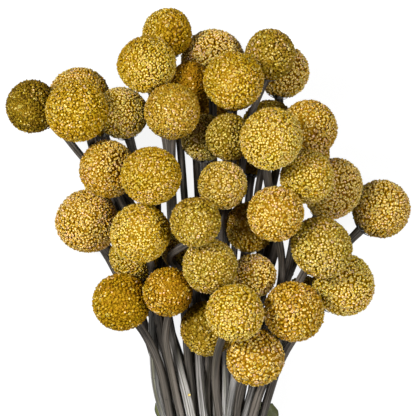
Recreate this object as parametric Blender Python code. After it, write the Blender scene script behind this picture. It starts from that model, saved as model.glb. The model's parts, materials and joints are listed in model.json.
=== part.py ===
"""A tied bunch of billy buttons lying on its back, its neck bound with a ribbon bow.

Each flower is one piece: a round head that grew on its own stem. The heads stand
where the photo shows them, and the stems are led from the heads to the tie here.
All lengths in the tables are millimetres unless a name says otherwise.
"""
import math

import bmesh
import bpy
import numpy as np
from mathutils import Matrix

MM = 0.001

# How the heads were measured: one step across the photo is STEP millimetres long
# at the height VIEW_LEVEL, seen from EYE millimetres above that height
STEP = 0.52
MIDDLE = 208.0
EYE = 1300.0
VIEW_LEVEL = 60.0

# The tie
TIE_ACROSS = 213.0
TIE_DOWN = 466.0
NECK_HEIGHT = 33.0

# Stems
STEM_WIDTHS = (4.4, 5.0, 4.6, 5.2, 4.2, 4.8)
STEM_SIDES = 6
TAIL_LENGTH = 182.0
TAIL_SPREAD = 9.0
TAIL_HEIGHT = 19.0
TAIL_FLARE = 1.22
LEVEL_STEP = 14.0
NECK_GAP = 0.28
FREE_GAP = 0.7
NECK_ZONE = 14.0

# Heads
HEAD_SIDES = 12
HEAD_RINGS = (25, 50, 75, 100, 125, 150)
HEAD_GAP = 0.6
LEAN_GAIN = 1.12
NECK_LEAN = 0.62

# Ribbon
RIBBON_WIDTH = 17.0
RIBBON_THICK = 0.9
RIBBON_GAP = 0.3
UNDER_ROOM = 13.5
BAND_SIDES = 20
KNOT_SIZE = (13.0, 15.0, 8.0)
KNOT_ROUND = 2.4

# A loop of the bow, from the knot along the floor to its fold and back above:
# part of the way to the fold, and height
LOOP_LINE = (
    (0.00, 5.6), (0.12, 3.6), (0.28, 1.5), (0.50, 0.6), (0.75, 0.6), (0.92, 1.2),
    (0.99, 3.0), (1.00, 5.4), (0.93, 7.9), (0.78, 9.8), (0.55, 10.6), (0.32, 10.3),
    (0.14, 9.2), (0.00, 8.0),
)
LOOP_WIDTHS = ((0.0, 8.0), (0.25, 14.0), (0.5, 16.0), (0.80, 15.5), (0.90, 13.2),
               (0.96, 9.6), (1.0, 5.0))
LOOPS = (
    (-1.0, "bow_loop_left", (-29.0, 32.0, 0.0), (0.80, 0.60, 0.0)),
    (1.0, "bow_loop_right", (33.7, 28.9, 0.0), (-0.71, 0.70, 0.0)),
)

# A loose end: part of its way from the knot, and height
TAIL_STEPS = 12
TAIL_LINE = ((-0.1, 6.2), (0.0, 6.0), (0.12, 3.6), (0.25, 1.2), (0.40, 0.5), (0.55, 1.5),
             (0.70, 2.4), (0.85, 1.2), (1.0, 0.5), (1.1, 0.5))
TAIL_WIDTHS = ((0.0, 6.0), (0.30, 14.0), (1.0, 15.6))
TAILS = (
    (-1.0, "ribbon_tail_left", (-31.0, -84.0, 0.0)),
    (1.0, "ribbon_tail_right", (35.0, -74.0, 0.0)),
)

# name, steps across, steps down, half width in steps, height, length over width,
# tint, extra lean across and extra lean in height at the head
HEADS = (
    ("01", 167.5, 33.0, 24.5, 54, 1.00, "gold", 0.00, 0.00),
    ("02", 146.5, 64.5, 29.5, 66, 0.94, "gold", 0.00, 0.30),
    ("03", 213.0, 61.0, 32.0, 36, 1.00, "amber", 0.00, 0.00),
    ("04", 233.5, 81.0, 29.5, 70, 1.00, "gold", 0.00, 0.35),
    ("05", 270.5, 54.5, 25.5, 56, 1.00, "olive", 0.00, 0.15),
    ("06", 283.0, 72.0, 26.0, 30, 1.00, "amber", 0.00, 0.00),
    ("07", 32.0, 106.5, 26.0, 40, 1.02, "moss", -0.80, 0.00),
    ("08", 79.0, 97.0, 30.0, 32, 1.00, "amber", 0.00, 0.00),
    ("09", 77.0, 111.0, 31.0, 64, 1.00, "gold", -0.10, 0.50),
    ("10", 122.0, 113.0, 26.0, 50, 1.00, "gold", 0.00, 0.15),
    ("11", 172.0, 111.0, 27.5, 78, 1.00, "straw", 0.14, 0.50),
    ("12", 191.0, 82.0, 20.5, 56, 1.00, "amber", 0.00, 0.60),
    ("13", 108.0, 169.0, 29.0, 64, 1.00, "amber", 0.00, 0.35),
    ("14", 151.0, 176.0, 30.0, 86, 0.95, "gold", 0.00, 0.70),
    ("15", 204.0, 138.0, 23.0, 58, 1.00, "moss", 0.00, 0.00),
    ("16", 229.0, 137.0, 23.5, 78, 1.00, "moss", 0.00, 0.15),
    ("17", 269.0, 127.0, 27.0, 46, 1.00, "moss", 0.00, 0.00),
    ("18", 271.0, 139.0, 31.0, 96, 1.00, "gold", 0.00, 0.60),
    ("19", 309.0, 128.5, 28.0, 56, 1.00, "amber", 0.10, 0.15),
    ("20", 307.0, 177.0, 27.0, 76, 1.00, "gold", 0.00, 0.40),
    ("21", 333.0, 189.0, 28.0, 54, 1.13, "amber", 0.10, 0.10),
    ("22", 381.5, 208.8, 29.0, 42, 1.00, "amber", 0.30, 0.00),
    ("23", 222.5, 185.0, 24.2, 84, 1.00, "straw", 0.00, 0.90),
    ("24", 195.5, 222.0, 25.0, 88, 1.00, "olive", 0.00, 0.85),
    ("25", 275.5, 213.5, 28.3, 86, 0.94, "amber", -0.35, 0.60),
    ("26", 87.5, 221.0, 31.5, 51, 1.00, "amber", -0.10, 0.50),
    ("27", 140.5, 233.5, 30.0, 84, 1.00, "gold", 0.00, 0.70),
    ("28", 134.0, 256.0, 24.5, 58, 1.00, "gold", 0.00, 0.10),
    ("29", 210.0, 266.0, 27.7, 86, 0.97, "olive", 0.00, 0.90),
    ("30", 250.0, 227.0, 25.0, 56, 1.00, "amber", 0.00, 0.00),
    ("31", 253.5, 276.0, 22.5, 66, 1.00, "amber", 0.00, 0.20),
    ("32", 321.5, 247.0, 32.0, 80, 0.86, "olive", 0.10, 0.55),
    ("33", 343.5, 285.0, 31.0, 56, 1.00, "gold", 0.25, 0.10),
    ("34", 121.5, 302.0, 28.8, 71, 1.00, "gold", -0.15, 0.35),
    ("35", 167.5, 292.0, 24.5, 76, 1.00, "amber", 0.20, 0.40),
    ("36", 235.0, 313.0, 29.0, 95, 0.95, "gold", 0.35, 0.25),
    ("37", 208.0, 328.5, 27.0, 72, 1.03, "olive", 0.00, 0.70),
    ("38", 294.0, 312.0, 30.3, 74, 1.00, "amber", 0.10, 0.40),
    ("39", 255.0, 357.0, 29.3, 72, 0.94, "amber", 0.10, 0.50),
    ("40", 180.0, 249.0, 20.0, 58, 1.00, "moss", 0.00, 0.00),
    ("41", 103.0, 190.0, 18.0, 0, 1.00, "amber", 0.00, 0.00),
    ("42", 255.0, 150.0, 26.0, 0, 1.00, "gold", 0.00, 0.00),
    ("43", 305.0, 155.0, 24.0, 0, 1.00, "amber", 0.00, 0.00),
    ("44", 232.0, 285.0, 24.0, 0, 1.00, "gold", 0.00, 0.00),
    ("45", 305.0, 297.0, 21.0, 0, 1.00, "olive", 0.00, 0.00),
    ("46", 97.0, 116.0, 22.0, 0, 1.00, "gold", 0.00, 0.00),
    ("47", 212.0, 100.0, 26.0, 0, 1.00, "amber", 0.00, 0.00),
    ("48", 93.0, 231.0, 20.0, 0, 1.00, "gold", 0.00, 0.00),
)

# Where a stem bends off its plain line: flower, steps down, shift across,
# shift in height, and the length of stem over which it does
BENDS = (
    ("02", 140.0, 4.0, 0.0, 30.0),
    ("02", 320.0, 4.2, 0.0, 24.0),
    ("07", 152.0, -4.0, 0.0, 22.0),
    ("07", 320.0, -3.5, 0.0, 24.0),
    ("10", 320.0, -6.0, 0.0, 24.0),
    ("11", 330.0, 4.0, -4.0, 34.0),
    ("12", 138.0, 0.0, -7.0, 22.0),
    ("13", 320.0, -1.5, 0.0, 24.0),
    ("14", 318.0, -6.5, 0.0, 26.0),
    ("18", 258.0, 1.5, 0.0, 26.0),
    ("20", 258.0, 5.5, 0.0, 26.0),
    ("25", 262.0, 1.5, 0.0, 24.0),
    ("26", 265.0, 3.0, -5.0, 22.0),
    ("27", 320.0, -1.5, 0.0, 24.0),
    ("35", 326.0, -4.0, 0.0, 24.0),
    ("37", 441.0, -0.1, 0.8, 16.0),
    ("40", 320.0, 1.6, 0.0, 24.0),
    ("46", 320.0, -2.0, 0.0, 24.0),
)

TINTS = {
    "gold": (0.55, 0.34, 0.03),
    "amber": (0.50, 0.27, 0.04),
    "olive": (0.42, 0.32, 0.05),
    "moss": (0.30, 0.25, 0.03),
    "straw": (0.56, 0.38, 0.12),
}


def clear_scene():
    for item in list(bpy.data.objects):
        bpy.data.objects.remove(item, do_unlink=True)


def make_material(name, colour, roughness):
    material = bpy.data.materials.new(name)
    material.use_nodes = True
    shader = material.node_tree.nodes["Principled BSDF"]
    shader.inputs["Base Color"].default_value = (*colour, 1.0)
    shader.inputs["Roughness"].default_value = roughness
    return material


def add_object(name, mesh_builder, material):
    """Turn a bmesh in millimetres into a named object in metres."""
    bmesh.ops.triangulate(mesh_builder, faces=mesh_builder.faces[:])
    bmesh.ops.recalc_face_normals(mesh_builder, faces=mesh_builder.faces[:])
    bmesh.ops.scale(mesh_builder, vec=(MM, MM, MM), verts=mesh_builder.verts[:])
    mesh = bpy.data.meshes.new(name)
    mesh_builder.to_mesh(mesh)
    mesh_builder.free()
    mesh.materials.append(material)
    item = bpy.data.objects.new(name, mesh)
    bpy.context.scene.collection.objects.link(item)
    return item


# Where the heads stand

def seen_scale(height):
    """How much wider a length at this height is than the same length at VIEW_LEVEL looks."""
    return STEP * (EYE + VIEW_LEVEL - height) / EYE


def tie_point():
    scale = seen_scale(NECK_HEIGHT)
    return np.array([(TIE_ACROSS - MIDDLE) * scale, (MIDDLE - TIE_DOWN) * scale, NECK_HEIGHT])


def place_heads(heights):
    """Centres and radii of the heads, as seen in the photo at the given heights."""
    across = np.array([row[1] for row in HEADS]) - MIDDLE
    down = np.array([row[2] for row in HEADS]) - MIDDLE
    half = np.array([row[3] for row in HEADS])
    scale = seen_scale(heights)
    centres = np.stack([across * scale, -down * scale, heights], axis=1)
    return centres, half * scale


def settle_heights():
    """Move the heads up or down, never sideways, until none presses into another."""
    start = np.array([float(row[4]) for row in HEADS])
    stretch = np.array([row[5] for row in HEADS])
    on_floor = start == 0.0
    heights = start.copy()
    rank = start + 1e-6 * np.arange(len(HEADS))
    order = np.sign(rank[:, None] - rank[None, :])
    for _ in range(900):
        centres, radii = place_heads(heights)
        reach = radii * np.maximum(stretch, 1.0)
        heights = np.where(on_floor, radii, heights)
        flat = np.hypot(centres[:, None, 0] - centres[None, :, 0],
                        centres[:, None, 1] - centres[None, :, 1])
        touch = reach[:, None] + reach[None, :] + HEAD_GAP
        needed = np.sqrt(np.maximum(touch ** 2 - flat ** 2, 0.0))
        apart = (heights[:, None] - heights[None, :]) * order
        push = np.where(flat < touch, np.maximum(needed - apart, 0.0), 0.0) * order
        np.fill_diagonal(push, 0.0)
        heights = heights + 0.22 * push.sum(axis=1)
        heights = np.where(on_floor, radii, np.maximum(heights, reach + 0.4))
    return heights


# How the stems run

def stem_radii():
    count = len(HEADS)
    return np.array([STEM_WIDTHS[i % len(STEM_WIDTHS)] / 2 for i in range(count)])


def head_axes(centres, tie):
    """Unit direction in which each stem enters its head."""
    slope = (centres - tie)[:, [0, 2]] / (centres - tie)[:, [1]]
    lean = np.array([(row[7], row[8]) for row in HEADS])
    slope = slope * LEAN_GAIN + lean
    axes = np.stack([slope[:, 0], np.ones(len(slope)), slope[:, 1]], axis=1)
    return axes / np.linalg.norm(axes, axis=1)[:, None]


def pack_neck(wish, radii):
    """Press the stems together at the tie, each as near as it can be to where it leans."""
    spots = wish.copy()
    reach = radii[:, None] + radii[None, :] + NECK_GAP
    for turn in range(2400):
        pull = 0.012 if turn < 1700 else 0.0
        spots = spots - pull * spots
        gap = spots[:, None, :] - spots[None, :, :]
        length = np.sqrt((gap ** 2).sum(axis=2)) + 1e-9
        over = np.maximum(reach - length, 0.0)
        np.fill_diagonal(over, 0.0)
        spots = spots + 0.35 * (gap / length[:, :, None] * over[:, :, None]).sum(axis=1)
    return spots


def hermite(start, start_slope, end, end_slope, length, part):
    """A cubic from start to end whose slopes are given per millimetre along Y."""
    h00 = 2 * part ** 3 - 3 * part ** 2 + 1
    h10 = part ** 3 - 2 * part ** 2 + part
    h01 = 3 * part ** 2 - 2 * part ** 3
    h11 = part ** 3 - part ** 2
    return h00 * start + h10 * length * start_slope + h01 * end + h11 * length * end_slope


def stem_levels(top):
    """Distances along the bunch from the tie at which one stem gets a ring."""
    below = [-0.8 * TAIL_LENGTH, -0.58 * TAIL_LENGTH, -0.36 * TAIL_LENGTH, -32.0, -NECK_ZONE]
    above = [NECK_ZONE]
    while above[-1] + 1.5 * LEVEL_STEP < top:
        above.append(above[-1] + LEVEL_STEP)
    return below + above


def bend_of(name, level, top):
    """How far a stem is led off its plain line at this level."""
    shift = np.zeros(2)
    for flower, down, across, lift, length in BENDS:
        if flower == name:
            away = (level - (TIE_DOWN - down) * STEP) / length
            ends = min(1.0, level / 12.0, (top - level) / 6.0)
            shift += np.array([across, lift]) * math.exp(-away * away) * ends
    return shift


def lead_stems(centres, head_radii, axes, tie):
    """Route every stem from its cut end through the tie to its head.

    Returns, for each flower, its stem's points in millimetres from the tie.
    """
    rng = np.random.default_rng(11)
    count = len(HEADS)
    radii = stem_radii()
    stretch = np.array([row[5] for row in HEADS])
    local = centres - tie
    bases = local - axes * (head_radii * stretch)[:, None]
    slope = bases[:, [0, 2]] / bases[:, [1]]
    spots = pack_neck(slope * 26.0, radii)
    ends = spots * TAIL_FLARE + rng.uniform(-1.2, 1.2, size=(count, 2))
    ends[:, 1] += TAIL_HEIGHT - NECK_HEIGHT
    end_level = -TAIL_LENGTH + rng.uniform(-TAIL_SPREAD, TAIL_SPREAD, size=count)

    paths = []
    for i in range(count):
        top = bases[i, 1]
        levels = [end_level[i]] + stem_levels(top)
        points = []
        for level in levels:
            if level < 0:
                part = level / end_level[i]
                flat = spots[i] + (ends[i] - spots[i]) * part ** 1.3
            else:
                end_slope = axes[i][[0, 2]] / axes[i][1]
                flat = hermite(spots[i], NECK_LEAN * slope[i], bases[i][[0, 2]], end_slope,
                               top, level / top) + bend_of(HEADS[i][0], level, top)
            points.append((flat[0], level, flat[1]))
        points.append(tuple(bases[i]))
        paths.append(np.array(points))
    return relax_stems(paths, local, head_radii * np.maximum(stretch, 1.0), radii)


def weights_on_levels(path, fine):
    """Matrix that reads a stem's place at the fine levels from its own points."""
    matrix = np.zeros((len(fine), len(path)))
    inside = np.zeros(len(fine))
    for row, level in enumerate(fine):
        if level < path[0, 1] or level > path[-1, 1]:
            continue
        seg = int(np.clip(np.searchsorted(path[:, 1], level) - 1, 0, len(path) - 2))
        part = (level - path[seg, 1]) / (path[seg + 1, 1] - path[seg, 1])
        matrix[row, seg] = 1 - part
        matrix[row, seg + 1] = part
        inside[row] = 1.0
    return matrix, inside


def relax_stems(paths, heads, head_reach, radii):
    """Bend the stems, a little at a time, until they clear each other and the heads."""
    count = len(paths)
    most = max(len(path) for path in paths)
    fine = np.concatenate([np.arange(-195.0, -20.0, 9.0), np.arange(-18.0, 250.0, 4.25)])
    read = np.zeros((count, len(fine), most))
    inside = np.zeros((count, len(fine)))
    flat = np.zeros((count, most, 2))
    free = np.zeros((count, most))
    slack = np.zeros((count, most, most))
    for i, path in enumerate(paths):
        size = len(path)
        matrix, here = weights_on_levels(path, fine)
        read[i, :, :size] = matrix
        inside[i] = here
        flat[i, :size] = path[:, [0, 2]]
        moving = (np.abs(path[:, 1]) > NECK_ZONE + 1.0).astype(float)
        moving[-1] = 0.0
        free[i, :size] = moving
        for k in range(1, size - 1):
            part = (path[k, 1] - path[k - 1, 1]) / (path[k + 1, 1] - path[k - 1, 1])
            slack[i, k, k - 1] = 1 - part
            slack[i, k, k + 1] = part
            slack[i, k, k] = -1.0
        slack[i, 0, 0] = -1.0
        slack[i, 0, 1] = 1.0
    rest = flat.copy()
    share = np.einsum("ifk->ik", read) + 1e-9
    step_y = np.gradient(fine)
    opened = np.clip((np.abs(fine) - NECK_ZONE) / 50.0, 0.0, 1.0)
    room = NECK_GAP * 0.7 + (FREE_GAP - NECK_GAP * 0.7) * opened
    floor = np.where((fine > -14.0) & (fine < 46.0), UNDER_ROOM, 0.05) - NECK_HEIGHT
    pairs_off = np.eye(count, dtype=bool)[:, :, None]
    for turn in range(1000):
        at = np.einsum("ifk,ikc->ifc", read, flat)
        slope = np.gradient(at, axis=1) / step_y[None, :, None]
        slant = np.sqrt(1 + np.minimum((slope ** 2).sum(axis=2), 1.5))
        wide = radii[:, None] * slant
        gap = at[:, None] - at[None, :]
        length = np.sqrt((gap ** 2).sum(axis=3)) + 1e-9
        over = wide[:, None] + wide[None, :] + room[None, None, :] - length
        over = np.maximum(over, 0.0) * inside[:, None] * inside[None, :]
        over = np.where(pairs_off, 0.0, over)
        force = (gap / length[..., None] * over[..., None]).sum(axis=1) * 0.5

        away = at[:, None] - heads[None, :, None, [0, 2]]
        rise = fine[None, None, :] - heads[None, :, None, 1]
        plane = np.sqrt((away ** 2).sum(axis=3)) + 1e-9
        keep = (head_reach[None, :] + radii[:, None] * 1.08 + FREE_GAP)[:, :, None]
        needed = np.sqrt(np.maximum(keep ** 2 - rise ** 2, 0.0))
        over = np.maximum(needed - plane, 0.0) * inside[:, None]
        over = np.where(pairs_off, 0.0, over)
        over = np.minimum(over, 3.0)
        force += (away / plane[..., None] * over[..., None]).sum(axis=1) * 0.8

        low = np.maximum(floor[None, :] + radii[:, None] * 1.02 - at[:, :, 1], 0.0) * inside
        force[:, :, 1] += low
        pushed = np.einsum("ifk,ifc->ikc", read, force) / share[..., None]
        strength = 1.6 if turn < 750 else 1.1
        flat = flat + strength * pushed * free[..., None]
        ease = 0.35 if turn < 550 else 0.12 if turn < 850 else 0.0
        bend = np.einsum("ijk,ikc->ijc", slack, flat - rest)
        flat = flat + ease * bend * free[..., None]
    result = []
    for i, path in enumerate(paths):
        size = len(path)
        moved = path.copy()
        moved[:, 0] = flat[i, :size, 0]
        moved[:, 2] = flat[i, :size, 1]
        result.append(moved)
    return result


# Solids

def ring_points(centre, axis, radius, sides, turn=0.0):
    """A ring of points around centre, square to axis."""
    across = np.array([1.0, 0.0, 0.0]) - axis[0] * axis
    across /= np.linalg.norm(across)
    up = np.cross(axis, across)
    angles = np.arange(sides) * 2 * math.pi / sides + turn
    return [centre + radius * (math.cos(a) * across + math.sin(a) * up) for a in angles]


def bridge(builder, lower, upper):
    """Join two rings whose counts are equal, or whose second has twice the points."""
    count = len(lower)
    if len(upper) == count:
        for k in range(count):
            nxt = (k + 1) % count
            builder.faces.new((lower[k], lower[nxt], upper[nxt], upper[k]))
        return
    for k in range(count):
        nxt = (k + 1) % count
        left, middle, right = upper[2 * k], upper[2 * k + 1], upper[(2 * k + 2) % (2 * count)]
        builder.faces.new((lower[k], middle, left))
        builder.faces.new((lower[k], lower[nxt], middle))
        builder.faces.new((lower[nxt], right, middle))


def build_flower(row, centre, head_radius, axis, path, stem_radius, tie, material):
    """One flower as one closed body: the cut end, the stem, and the round head."""
    builder = bmesh.new()
    points = path + tie
    rings = []
    for k, point in enumerate(points):
        before = points[max(k - 1, 0)]
        after = points[k + 1] if k + 1 < len(points) else centre
        along = after - before
        along = along / np.linalg.norm(along)
        if k == len(points) - 1:
            point = point - axis * 0.6
            along = axis
        loop = ring_points(point, along, stem_radius, STEM_SIDES)
        rings.append([builder.verts.new(tuple(p)) for p in loop])
    length = head_radius * row[5]
    for angle in HEAD_RINGS:
        ring_centre = centre - axis * length * math.cos(math.radians(angle))
        ring_radius = head_radius * math.sin(math.radians(angle))
        loop = ring_points(ring_centre, axis, ring_radius, HEAD_SIDES)
        rings.append([builder.verts.new(tuple(p)) for p in loop])
    for lower, upper in zip(rings, rings[1:]):
        bridge(builder, lower, upper)
    builder.faces.new(list(reversed(rings[0])))
    crown = builder.verts.new(tuple(centre + axis * length))
    last = rings[-1]
    for k in range(HEAD_SIDES):
        builder.faces.new((last[k], last[(k + 1) % HEAD_SIDES], crown))
    return add_object("flower_" + row[0], builder, material)


def blend(first, second, part):
    return first + (second - first) * part


def ease_between(stops, at):
    """Read a smooth value at one place from (place, value) stops."""
    places = [stop[0] for stop in stops]
    values = [stop[1] for stop in stops]
    return float(np.interp(at, places, values))


def strip_sections(centre, side, normal, width, thick):
    """The four corners of a ribbon's cross section."""
    half = side * width / 2
    lift = normal * thick / 2
    return [centre - half - lift, centre + half - lift, centre + half + lift,
            centre - half + lift]


def join_sections(builder, sections, closed):
    rows = [[builder.verts.new(tuple(p)) for p in section] for section in sections]
    pairs = list(zip(rows, rows[1:]))
    if closed:
        pairs.append((rows[-1], rows[0]))
    for first, second in pairs:
        for k in range(4):
            nxt = (k + 1) % 4
            builder.faces.new((first[k], first[nxt], second[nxt], second[k]))
    if not closed:
        builder.faces.new(list(reversed(rows[0])))
        builder.faces.new(rows[-1])


def build_band(paths, radii, tie, material):
    """The ribbon wound round the neck, drawn tight over the outermost stems."""
    middle = np.mean([np.interp(0.0, path[:, 1], path[:, 0]) for path in paths])
    centre = np.array([middle, np.mean([np.interp(0.0, path[:, 1], path[:, 2])
                                        for path in paths])])
    angles = np.arange(BAND_SIDES) * 2 * math.pi / BAND_SIDES
    reach = np.zeros(BAND_SIDES)
    for path, radius in zip(paths, radii):
        for level in np.linspace(-RIBBON_WIDTH / 2 - 1.0, RIBBON_WIDTH / 2 + 1.0, 7):
            spot = np.array([np.interp(level, path[:, 1], path[:, 0]),
                             np.interp(level, path[:, 1], path[:, 2])]) - centre
            along = spot[0] * np.cos(angles) + spot[1] * np.sin(angles)
            reach = np.maximum(reach, along + radius * 1.03 + RIBBON_GAP)
    builder = bmesh.new()
    corners = []
    for layer in (0.0, RIBBON_THICK):
        for k in range(BAND_SIDES):
            nxt = (k + 1) % BAND_SIDES
            first, second = reach[k] + layer, reach[nxt] + layer
            turn = math.sin(angles[nxt] - angles[k])
            x = (first * math.sin(angles[nxt]) - second * math.sin(angles[k])) / turn
            z = (second * math.cos(angles[k]) - first * math.cos(angles[nxt])) / turn
            corners.append((x + centre[0], z + centre[1]))
    sections = []
    for k in range(BAND_SIDES):
        inner, outer = corners[k], corners[k + BAND_SIDES]
        low, high = -RIBBON_WIDTH / 2, RIBBON_WIDTH / 2
        sections.append([tie + np.array(p) for p in (
            (inner[0], low, inner[1]), (inner[0], high, inner[1]),
            (outer[0], high, outer[1]), (outer[0], low, outer[1]))])
    join_sections(builder, sections, closed=True)
    add_object("ribbon_band", builder, material)
    bottom = min(corner[1] for corner in corners) + tie[2]
    return centre[0] + tie[0], bottom


def build_knot(centre, material):
    """The flat knot under the band."""
    builder = bmesh.new()
    bmesh.ops.create_cube(builder, size=1.0)
    bmesh.ops.scale(builder, vec=KNOT_SIZE, verts=builder.verts[:])
    bmesh.ops.bevel(builder, geom=builder.edges[:], offset=KNOT_ROUND, segments=2,
                    affect="EDGES", profile=0.5)
    bmesh.ops.translate(builder, vec=tuple(centre), verts=builder.verts[:])
    add_object("ribbon_knot", builder, material)


def build_loop(name, knot, side, fold, fold_side, material):
    """One loop of the bow: a ribbon laid back on itself, lying on the floor."""
    start = knot + np.array([side * (KNOT_SIZE[0] / 2 + 1.3), 0.0, 0.0])
    start[2] = 0.0
    reach = fold - start
    first_side = np.array([0.0, 1.0, 0.0])
    last_side = fold_side / np.linalg.norm(fold_side)
    centres, sides, widths = [], [], []
    for part, height in LOOP_LINE:
        bow = np.array([-side * reach[1], side * reach[0], 0.0]) * 0.10
        centre = start + reach * part + bow * math.sin(math.pi * part)
        centre[2] = height
        across = blend(first_side, last_side, min(part * 1.4, 1.0))
        centres.append(centre)
        sides.append(across / np.linalg.norm(across))
        widths.append(ease_between(LOOP_WIDTHS, part))
    count = len(centres)
    sections = []
    for k in range(count):
        along = centres[(k + 1) % count] - centres[k - 1]
        normal = np.cross(sides[k], along)
        normal = normal / np.linalg.norm(normal)
        sections.append(strip_sections(centres[k], sides[k], normal, widths[k],
                                       RIBBON_THICK))
    builder = bmesh.new()
    join_sections(builder, sections, closed=True)
    add_object(name, builder, material)


def build_tail(name, knot, side, end, material):
    """One loose end of the ribbon, running down beside the stems on the floor."""
    start = knot + np.array([side * 3.4, -KNOT_SIZE[1] / 2 - RIBBON_GAP, 0.0])
    start[2] = 0.0
    reach = end - start
    sections = []
    for k in range(TAIL_STEPS + 1):
        part = k / TAIL_STEPS
        sway = side * 5.0 * math.sin(math.pi * part)
        centre = start + reach * part + np.array([sway, 0.0, 0.0])
        centre[2] = ease_between(TAIL_LINE, part)
        width = ease_between(TAIL_WIDTHS, part)
        across = np.array([1.0, 0.10 * side - 0.45 * side * max(part - 0.85, 0) / 0.15, 0.0])
        rise = (ease_between(TAIL_LINE, part + 0.05)
                - ease_between(TAIL_LINE, part - 0.05)) / (0.1 * abs(reach[1]))
        normal = np.array([0.0, rise, 1.0])
        sections.append(strip_sections(centre, across, normal / np.linalg.norm(normal),
                                       width, RIBBON_THICK))
    builder = bmesh.new()
    join_sections(builder, sections, closed=False)
    add_object(name, builder, material)


def stand_on_origin(items):
    """Slide everything so the origin is under the middle of the bunch, on the floor."""
    corners = np.array([vertex.co[:] for item in items for vertex in item.data.vertices])
    low, high = corners.min(axis=0), corners.max(axis=0)
    shift = ((low[0] + high[0]) / -2, (low[1] + high[1]) / -2, -low[2])
    for item in items:
        item.data.transform(Matrix.Translation(shift))


def main():
    clear_scene()
    tie = tie_point()
    heights = settle_heights()
    centres, head_radii = place_heads(heights)
    axes = head_axes(centres, tie)
    paths = lead_stems(centres, head_radii, axes, tie)
    radii = stem_radii()
    flowers = {tint: make_material("floret_" + tint, colour, 0.8)
               for tint, colour in TINTS.items()}
    for i, row in enumerate(HEADS):
        build_flower(row, centres[i], head_radii[i], axes[i], paths[i], radii[i], tie,
                     flowers[row[6]])
    ribbon = make_material("ribbon_satin", (0.10, 0.14, 0.03), 0.45)
    knot_across, band_bottom = build_band(paths, radii, tie, ribbon)
    knot = np.array([knot_across, tie[1], band_bottom - RIBBON_GAP - KNOT_SIZE[2] / 2])
    build_knot(knot, ribbon)
    for side, name, fold, fold_side in LOOPS:
        build_loop(name, knot, side, tie * (1, 1, 0) + np.array(fold), np.array(fold_side),
                   ribbon)
    for side, name, end in TAILS:
        build_tail(name, knot, side, tie * (1, 1, 0) + np.array(end), ribbon)
    stand_on_origin(list(bpy.context.scene.collection.objects))


main()
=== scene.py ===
"""Looks of a tied bunch of billy buttons: heads of florets, dry stems, satin ribbon.

Every flower's place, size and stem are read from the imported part. Lengths in the
tables are millimetres, and the pieces are made in metres.
"""

import json
import math

import bpy
import numpy as np
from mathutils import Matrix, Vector

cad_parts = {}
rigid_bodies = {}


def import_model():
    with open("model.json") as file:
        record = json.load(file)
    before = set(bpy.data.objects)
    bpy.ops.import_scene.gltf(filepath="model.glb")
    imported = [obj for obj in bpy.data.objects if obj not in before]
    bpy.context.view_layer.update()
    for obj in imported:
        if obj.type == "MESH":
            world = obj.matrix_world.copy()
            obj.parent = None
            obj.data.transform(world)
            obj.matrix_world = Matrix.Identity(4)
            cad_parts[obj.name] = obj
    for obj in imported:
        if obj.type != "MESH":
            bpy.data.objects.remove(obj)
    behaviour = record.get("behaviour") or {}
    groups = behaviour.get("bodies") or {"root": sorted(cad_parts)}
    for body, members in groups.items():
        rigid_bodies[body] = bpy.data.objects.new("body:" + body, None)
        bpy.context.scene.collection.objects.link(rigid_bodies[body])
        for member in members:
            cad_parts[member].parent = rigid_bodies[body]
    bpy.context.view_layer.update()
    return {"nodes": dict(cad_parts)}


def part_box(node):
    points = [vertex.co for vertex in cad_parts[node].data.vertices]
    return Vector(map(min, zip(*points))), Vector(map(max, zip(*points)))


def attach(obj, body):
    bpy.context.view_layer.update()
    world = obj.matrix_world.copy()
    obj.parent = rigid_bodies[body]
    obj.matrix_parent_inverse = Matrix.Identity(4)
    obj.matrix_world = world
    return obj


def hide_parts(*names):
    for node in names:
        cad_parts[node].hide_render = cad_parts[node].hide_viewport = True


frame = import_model()

MM = 0.001
GOLDEN_TURN = math.pi * (3 - math.sqrt(5))

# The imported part's tie, put down on the floor, and the camera, which looks straight
# down and whose place is in metres
TIE = np.array([1.928, -25.364, 0.0])
CAMERA_SPOT = (-0.000726, 0.111583, 1.360700)
CAMERA_LENS = 216.35
CAMERA_SENSOR = 36.0

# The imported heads' rings: the highest as an angle from the crown, the widest and the
# lowest as angles from the foot
HIGH_RING = math.radians(30)
WIDE_RING = math.radians(100)
LOW_RING = math.radians(25)

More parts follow.
